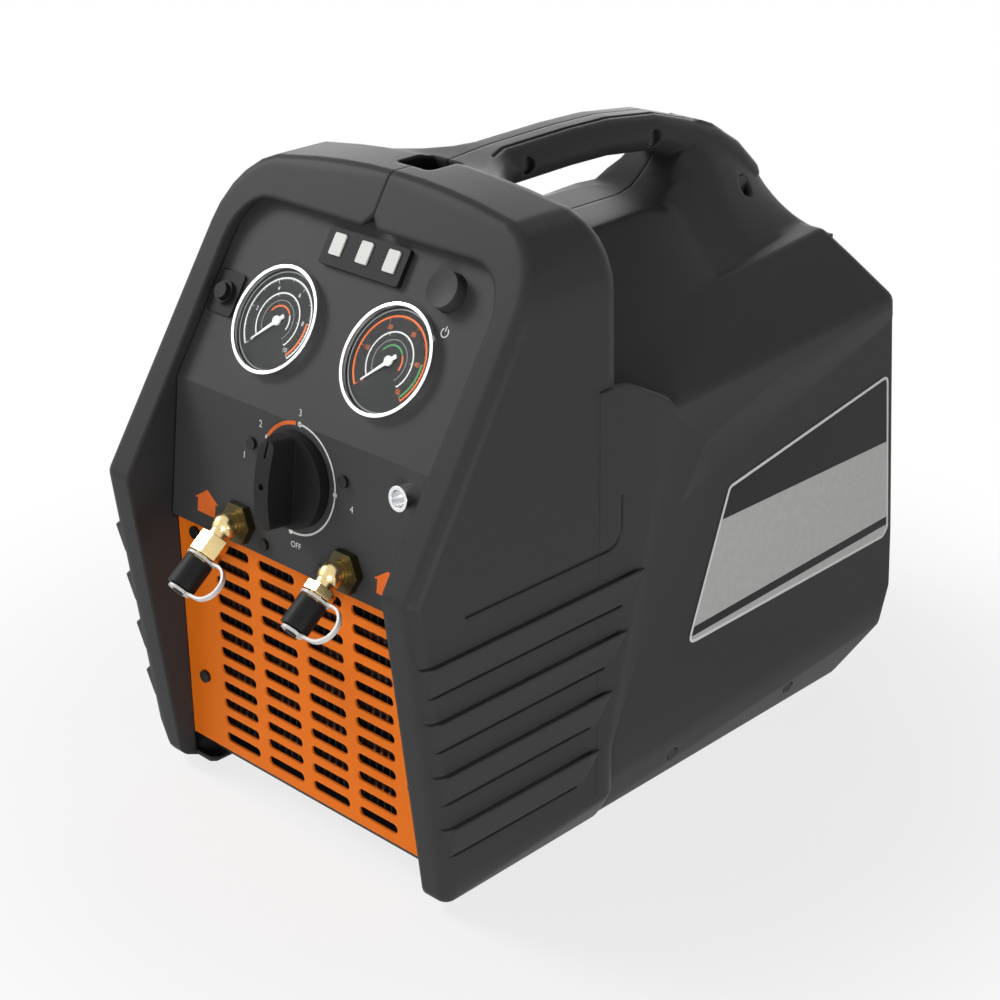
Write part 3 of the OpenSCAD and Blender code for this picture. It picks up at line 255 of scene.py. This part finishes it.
class Print:
    """Flat marks gathered into one mesh, each with its own ink."""

    def __init__(self, inks):
        self.bm = bmesh.new()
        self.inks = inks

    def face(self, points, ink):
        """A flat shape with the points as its corners."""
        verts = [self.bm.verts.new((x * MM, y * MM, 0)) for x, y in points]
        self.bm.faces.new(verts).material_index = self.inks.index(ink)

    def band(self, inner, outer, start, end, ink, centre=(0, 0)):
        """Part of a ring between two radii, from one angle to another in degrees."""
        steps = max(2, int(abs(end - start) / ARC_STEP))
        for i in range(steps):
            a = math.radians(start + (end - start) * i / steps)
            b = math.radians(start + (end - start) * (i + 1) / steps)
            self.face(
                [(centre[0] + r * math.cos(t), centre[1] + r * math.sin(t))
                 for r, t in ((inner, a), (outer, a), (outer, b), (inner, b))],
                ink,
            )

    def tick(self, inner, outer, angle, width, ink):
        """A short line between two radii at an angle in degrees."""
        t = math.radians(angle)
        along = Vector((math.cos(t), math.sin(t)))
        aside = Vector((-along.y, along.x)) * width / 2
        self.face([tuple(along * inner - aside), tuple(along * outer - aside),
                   tuple(along * outer + aside), tuple(along * inner + aside)], ink)

    def disc(self, x, y, r, ink, steps=20):
        """A round dot."""
        self.face([(x + r * math.cos(math.tau * i / steps), y + r * math.sin(math.tau * i / steps))
                   for i in range(steps)], ink)

    def number(self, words, x, y, size, ink):
        """A plain number or the word on a switch, centred on a point."""
        curve = bpy.data.curves.new("number", "FONT")
        curve.body = words
        curve.size = size * MM
        curve.align_x = "CENTER"
        curve.align_y = "CENTER"
        holder = bpy.data.objects.new("number", curve)
        bpy.context.scene.collection.objects.link(holder)
        shape = bpy.data.meshes.new_from_object(holder.evaluated_get(bpy.context.evaluated_depsgraph_get()))
        shape.transform(Matrix.Translation((x * MM, y * MM, 0)))
        before = len(self.bm.faces)
        self.bm.from_mesh(shape)
        self.bm.faces.ensure_lookup_table()
        for face in self.bm.faces[before:]:
            face.material_index = self.inks.index(ink)
        bpy.data.objects.remove(holder)
        bpy.data.meshes.remove(shape)

    def place(self, name, matrix, height, body="root", slot="dial"):
        """Puts the marks at a height over a frame's face and fixes them to a body."""
        mesh = bpy.data.meshes.new(name)
        self.bm.to_mesh(mesh)
        self.bm.free()
        mesh.transform(matrix @ Matrix.Translation((0, 0, height)))
        for ink in self.inks:
            mesh.materials.append(ink)
        piece = bpy.data.objects.new(name, mesh)
        bpy.context.scene.collection.objects.link(piece)
        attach(piece, body)


def box(half, foot, top):
    """The corners of an upright box on the middle line."""
    return [(-half, foot), (half, foot), (half, top), (-half, top)]


# Gauge dials: a scale from lower left over the top to lower right

SCALE_START = 225
SCALE_SWEEP = 270
DIAL_FACE = 1.0 * MM
FINE_LINE = 0.3
# The outer, middle and inner scale: radius, longest tick and width of the arc in mm, and ticks to each figure
SCALES = ((23.6, 2.4, 0.9, 10), (15.4, 1.6, 0.8, 5), (11.4, 1.2, FINE_LINE, 5))
DIAL_FIGURE_R = 18.4
DIAL_FIGURE_SIZE = 3.4
# Bands on a dial: the radii of their two edges in mm
EDGE_BAND = (26.6, 27.3)
ZONE_BAND = (20.9, 22.0)
HUB_BAND = (8.0, 8.9)
# Where the coloured bands start and end, in degrees
ZONE_ARC = (10, -45)
HUB_ARC = (150, 40)
HUB_END_ARC = (35, -20)


def scale(marks, radius, inward, width, divisions, ink):
    """An arc with a tick at each division, longer at each fifth and tenth."""
    marks.band(radius - width / 2, radius + width / 2, SCALE_START, SCALE_START - SCALE_SWEEP, ink)
    for i in range(divisions + 1):
        reach = 1.0 if i % 10 == 0 else 0.7 if i % 5 == 0 else 0.45
        marks.tick(radius - inward * reach, radius, SCALE_START - SCALE_SWEEP * i / divisions, FINE_LINE, ink)


def dial_print(name, matrix, outer_ink, inner_ink, zone_ink, figures):
    """The print of one gauge: three scales, figures on the outer one and coloured zones."""
    marks = Print([print_white, print_orange, print_green, print_grey])
    steps = len(figures) - 1
    marks.band(*EDGE_BAND, 0, 360, print_grey)
    for (radius, inward, width, ticks), ink in zip(SCALES, (outer_ink, inner_ink, print_grey)):
        scale(marks, radius, inward, width, ticks * steps, ink)
    for i, figure in enumerate(figures):
        t = math.radians(SCALE_START - SCALE_SWEEP * i / steps)
        x, y = DIAL_FIGURE_R * math.cos(t), DIAL_FIGURE_R * math.sin(t)
        marks.number(figure, x, y, DIAL_FIGURE_SIZE, outer_ink)
    marks.band(*ZONE_BAND, *ZONE_ARC, zone_ink)
    marks.band(*HUB_BAND, *HUB_ARC, zone_ink)
    marks.band(*HUB_BAND, *HUB_END_ARC, outer_ink)
    marks.place(name, matrix, DIAL_FACE + PRINT)


low_figures = [str(value) for value in range(0, 11, 2)]
high_figures = [str(value) for value in range(0, 51, 10)]
dial_print("low_dial_print", low_gauge, print_white, print_white, print_orange, low_figures)
dial_print("high_dial_print", high_gauge, print_orange, print_white, print_green, high_figures)


# Marks round the selector and by the ports

RING_R = 29.5
# The two arcs of the ring: half their width in mm, and where they start and end in degrees
BOLD_HALF = 1.0
BOLD_ARC = (148, 96)
THIN_HALF = 0.55
THIN_ARC = (92, -93)
DOT_R = 1.5
DOT_ANGLES = (90, 0, -95, 148)
FIGURE_SIZE = 5.5
OFF_SIZE = 4.6
# Figures round the ring: their middle, across and up from the selector's axis, and their size, in mm
RING_FIGURES = (
    ("1", -42.5, 1, FIGURE_SIZE),
    ("2", -30.53, 21.3, FIGURE_SIZE),
    ("3", 0, 35.5, FIGURE_SIZE),
    ("4", 42.5, -4, FIGURE_SIZE),
    ("OFF", 2, -36, OFF_SIZE),
)
ring = Print([print_white, print_orange])
ring.band(RING_R - BOLD_HALF, RING_R + BOLD_HALF, *BOLD_ARC, print_orange)
ring.band(RING_R - THIN_HALF, RING_R + THIN_HALF, *THIN_ARC, print_white)
for angle in DOT_ANGLES:
    t = math.radians(angle)
    ring.disc(RING_R * math.cos(t), RING_R * math.sin(t), DOT_R, print_white)
for figure, x, y, size in RING_FIGURES:
    ring.number(figure, x, y, size, print_white)
ring.place("selector_print", selector, PRINT, slot="panel")

# Mark for on and off under the power button, placed from the middle of the high gauge, in mm
POWER_X = 26.5
POWER_Y = 22.5
POWER_RING = (2.0, 2.7)
POWER_ARC = (125, 415)
STROKE_HALF = 0.35
STROKE_FOOT = 0.6
STROKE_TOP = 3.4
power_mark = Print([print_white])
power_mark.band(*POWER_RING, *POWER_ARC, print_white, centre=(POWER_X, POWER_Y))
stroke = box(STROKE_HALF, STROKE_FOOT, STROKE_TOP)
power_mark.face([(POWER_X + x, POWER_Y + y) for x, y in stroke], print_white)
power_mark.place("power_print", high_gauge, PRINT, slot="panel")

# An arrow by each port
ARROW_X = 72
ARROW_DROP = 35.5
SHAFT_HALF = 7.5
SHAFT_FOOT = -6
HEAD_HALF = 10
HEAD_FOOT = 1.5
HEAD_TIP = 8


def arrow(name, side):
    """An arrow up beside a port, on one side of the selector."""
    marks = Print([print_orange])
    shaft = box(SHAFT_HALF, SHAFT_FOOT, HEAD_FOOT)
    head = [(-HEAD_HALF, HEAD_FOOT), (HEAD_HALF, HEAD_FOOT), (0, HEAD_TIP)]
    for outline in (shaft, head):
        marks.face([(side * ARROW_X + x, y - ARROW_DROP) for x, y in outline], print_orange)
    marks.place(name, selector, PRINT, slot="panel")


arrow("inlet_arrow", -1)
arrow("outlet_arrow", 1)


# Bare rating plate on the leaning floor of the recess in the right side, with y back and z up along it

CASING_SHIFT = 7.2
RECESS_FOOT = Vector((126.2, CASING_SHIFT, 0)) * MM
RECESS_LEAN = math.radians(-3.72)
RECESS_TOE = math.radians(-0.23)
PLATE_T = 0.5
PLATE_FACE = (
    Matrix.Translation(RECESS_FOOT)
    @ Matrix.Rotation(RECESS_TOE, 4, "Z")
    @ Matrix.Rotation(RECESS_LEAN, 4, "Y")
    @ Matrix(((0, 0, 1, 0), (1, 0, 0, 0), (0, 1, 0, 0), (0, 0, 0, 1)))
)
PLATE_CORNERS = [(8, 90), (190, 94), (195, 99), (194, 197), (47, 173)]
PLATE_CORNER_R = 5
PLATE_BORDER = 1.8
# Largest share of a side that a rounded corner takes
MOST_CUT = 0.45


def rounded(corners, radius, steps=5):
    """The outline with each corner rounded, over less than half of each side."""
    outline = []
    count = len(corners)
    for i in range(count):
        here = Vector(corners[i])
        back = Vector(corners[i - 1]) - here
        on = Vector(corners[(i + 1) % count]) - here
        before = back.normalized()
        after = on.normalized()
        cut = min(radius / math.tan(before.angle(after) / 2), MOST_CUT * back.length, MOST_CUT * on.length)
        for k in range(steps + 1):
            t = k / steps
            point = here + before * cut * (1 - t) ** 2 + after * cut * t ** 2
            outline.append((point.x, point.y))
    return outline


def inset(outline, distance):
    """A convex outline that runs anticlockwise, moved in by a distance."""
    moved = []
    count = len(outline)
    for i in range(count):
        here = Vector(outline[i])
        along = (Vector(outline[(i + 1) % count]) - Vector(outline[i - 1])).normalized()
        moved.append((here.x - along.y * distance, here.y + along.x * distance))
    return moved


def clipped(outline, keep):
    """The part of an outline where keep(point) isn't negative."""
    kept = []
    for i, here in enumerate(outline):
        then = outline[i - 1]
        a, b = keep(then), keep(here)
        if (a < 0) != (b < 0):
            t = a / (a - b)
            kept.append((then[0] + (here[0] - then[0]) * t, then[1] + (here[1] - then[1]) * t))
        if b >= 0:
            kept.append(here)
    return kept


def above(level, slope=0.0):
    """A test for clipped that keeps what lies over a line."""
    return lambda point: point[1] - level - slope * point[0]


def below(level, slope=0.0):
    """A test for clipped that keeps what lies under a line."""
    return lambda point: level + slope * point[0] - point[1]


# Heights of the plate's fields: a dark title, a bare field, and a dark strip that rises to the back
TITLE_FOOT = 155
STRIP_FOOT = 93.8
STRIP_TOP = 99.0
STRIP_SLOPE = 0.04
plate_outline = rounded(PLATE_CORNERS, PLATE_CORNER_R)
border = Print([print_white])
border.face(plate_outline, print_white)
border.place("plate_border", PLATE_FACE, PLATE_T * MM, slot="casing")

plate_field = inset(plate_outline, PLATE_BORDER)
under_title = clipped(plate_field, below(TITLE_FOOT))
under_field = clipped(plate_field, below(STRIP_TOP, STRIP_SLOPE))
fields = Print([plate_silver, plate_dark])
fields.face(clipped(plate_field, above(TITLE_FOOT)), plate_dark)
fields.face(clipped(under_title, above(STRIP_TOP, STRIP_SLOPE)), plate_silver)
fields.face(clipped(under_field, above(STRIP_FOOT, STRIP_SLOPE)), plate_dark)
fields.face(clipped(plate_field, below(STRIP_FOOT, STRIP_SLOPE)), plate_silver)
fields.place("plate_fields", PLATE_FACE, PLATE_T * MM + PRINT, slot="casing")


# Studio

LIT_POINT = Vector((0, 0, 0.18))


def area_light(name, place, size, power):
    """A round soft light that faces the middle of the machine."""
    lamp = bpy.data.lights.new(name, "AREA")
    lamp.shape = "DISK"
    lamp.size = size
    lamp.energy = power
    holder = bpy.data.objects.new(name, lamp)
    holder.location = place
    holder.rotation_euler = (LIT_POINT - Vector(place)).to_track_quat("-Z", "Y").to_euler()
    bpy.context.scene.collection.objects.link(holder)


area_light("key light", (-1.70, -0.75, 1.55), 0.9, 28)
area_light("front card", (-1.55, -1.55, 1.15), 1.9, 8)
area_light("back card", (-1.30, 1.70, 0.55), 1.6, 16)
area_light("side light", (1.05, -0.22, 0.10), 0.5, 4.5)
area_light("fill light", (1.00, -1.70, 0.26), 0.7, 17)


def seen_directly(tree):
    """One for rays from the camera, also in reflections and through glass, and nought for the rest."""
    path = tree.nodes.new("ShaderNodeLightPath")
    seen = path.outputs["Is Camera Ray"]
    for ray in ("Is Glossy Ray", "Is Transmission Ray"):
        joined = tree.nodes.new("ShaderNodeMath")
        joined.operation = "MAXIMUM"
        tree.links.new(seen, joined.inputs[0])
        tree.links.new(path.outputs[ray], joined.inputs[1])
        seen = joined.outputs[0]
    return seen


# Strength of the faint light from all sides
GLOW = 0.06
world = bpy.data.worlds.new("studio")
bpy.context.scene.world = world
world.use_nodes = True
air = world.node_tree
backdrop = air.nodes.new("ShaderNodeBackground")
backdrop.inputs["Color"].default_value = (1, 1, 1, 1)
backdrop.inputs["Strength"].default_value = 1.0
glow = air.nodes["Background"]
glow.inputs["Color"].default_value = (0.95, 0.97, 1.0, 1)
glow.inputs["Strength"].default_value = GLOW
blend = air.nodes.new("ShaderNodeMixShader")
air.links.new(seen_directly(air), blend.inputs["Fac"])
air.links.new(glow.outputs["Background"], blend.inputs[1])
air.links.new(backdrop.outputs["Background"], blend.inputs[2])
air.links.new(blend.outputs["Shader"], air.nodes["World Output"].inputs["Surface"])

FLOOR_HALF = 4.0
FADE_START = 0.22
FADE_END = 0.50
# Share of plain white in the floor under the machine, which makes its shadow faint
SHADOW_FADE = 0.78
floor_mesh = bpy.data.meshes.new("floor")
floor_mesh.from_pydata(
    [(x * FLOOR_HALF, y * FLOOR_HALF, 0) for x, y in ((-1, -1), (1, -1), (1, 1), (-1, 1))], [], [(0, 1, 2, 3)]
)
floor = bpy.data.objects.new("floor", floor_mesh)
bpy.context.scene.collection.objects.link(floor)
floor_finish = finish("floor", linear(236, 236, 236), 0.9, grain=40, vary=0.01, bump=0.0)
floor_mesh.materials.append(floor_finish)
tree = floor_finish.node_tree
reach = tree.nodes.new("ShaderNodeVectorMath")
reach.operation = "LENGTH"
place = tree.nodes.new("ShaderNodeTexCoord")
tree.links.new(place.outputs["Object"], reach.inputs[0])
fade = tree.nodes.new("ShaderNodeMapRange")
fade.interpolation_type = "SMOOTHSTEP"
fade.inputs["From Min"].default_value = FADE_START
fade.inputs["From Max"].default_value = FADE_END
fade.inputs["To Min"].default_value = SHADOW_FADE
tree.links.new(reach.outputs["Value"], fade.inputs["Value"])
white = tree.nodes.new("ShaderNodeEmission")
white.inputs["Strength"].default_value = 1.0
shown = tree.nodes.new("ShaderNodeMixShader")
tree.links.new(fade.outputs["Result"], shown.inputs["Fac"])
tree.links.new(tree.nodes["Principled BSDF"].outputs["BSDF"], shown.inputs[1])
tree.links.new(white.outputs["Emission"], shown.inputs[2])
bounce = tree.nodes.new("ShaderNodeBsdfDiffuse")
bounce.inputs["Color"].default_value = linear(170, 170, 170)
blend = tree.nodes.new("ShaderNodeMixShader")
tree.links.new(seen_directly(tree), blend.inputs["Fac"])
tree.links.new(bounce.outputs["BSDF"], blend.inputs[1])
tree.links.new(shown.outputs["Shader"], blend.inputs[2])
tree.links.new(blend.outputs["Shader"], tree.nodes["Material Output"].inputs["Surface"])


# Camera, at the photograph's viewing angle

def look_matrix(place, right, up, back):
    """The frame of a camera at a place, from its three directions."""
    turn = Matrix((Vector(right), Vector(up), Vector(back))).transposed().to_4x4()
    return Matrix.Translation(place) @ turn


CAMERA_PLACE = (0.8075, -0.8181, 0.6700)
CAMERA_RIGHT = (0.7111, 0.7030, -0.0095)
CAMERA_UP = (-0.2856, 0.3012, 0.9099)
CAMERA_BACK = (0.6425, -0.6443, 0.4149)
camera = bpy.data.cameras.new("camera")
camera.sensor_width = 36
camera.lens = 79.5
camera.clip_start = 0.01
viewer = bpy.data.objects.new("camera", camera)
viewer.matrix_world = look_matrix(CAMERA_PLACE, CAMERA_RIGHT, CAMERA_UP, CAMERA_BACK)
bpy.context.scene.collection.objects.link(viewer)
bpy.context.scene.camera = viewer
bpy.context.scene.view_settings.view_transform = "Standard"
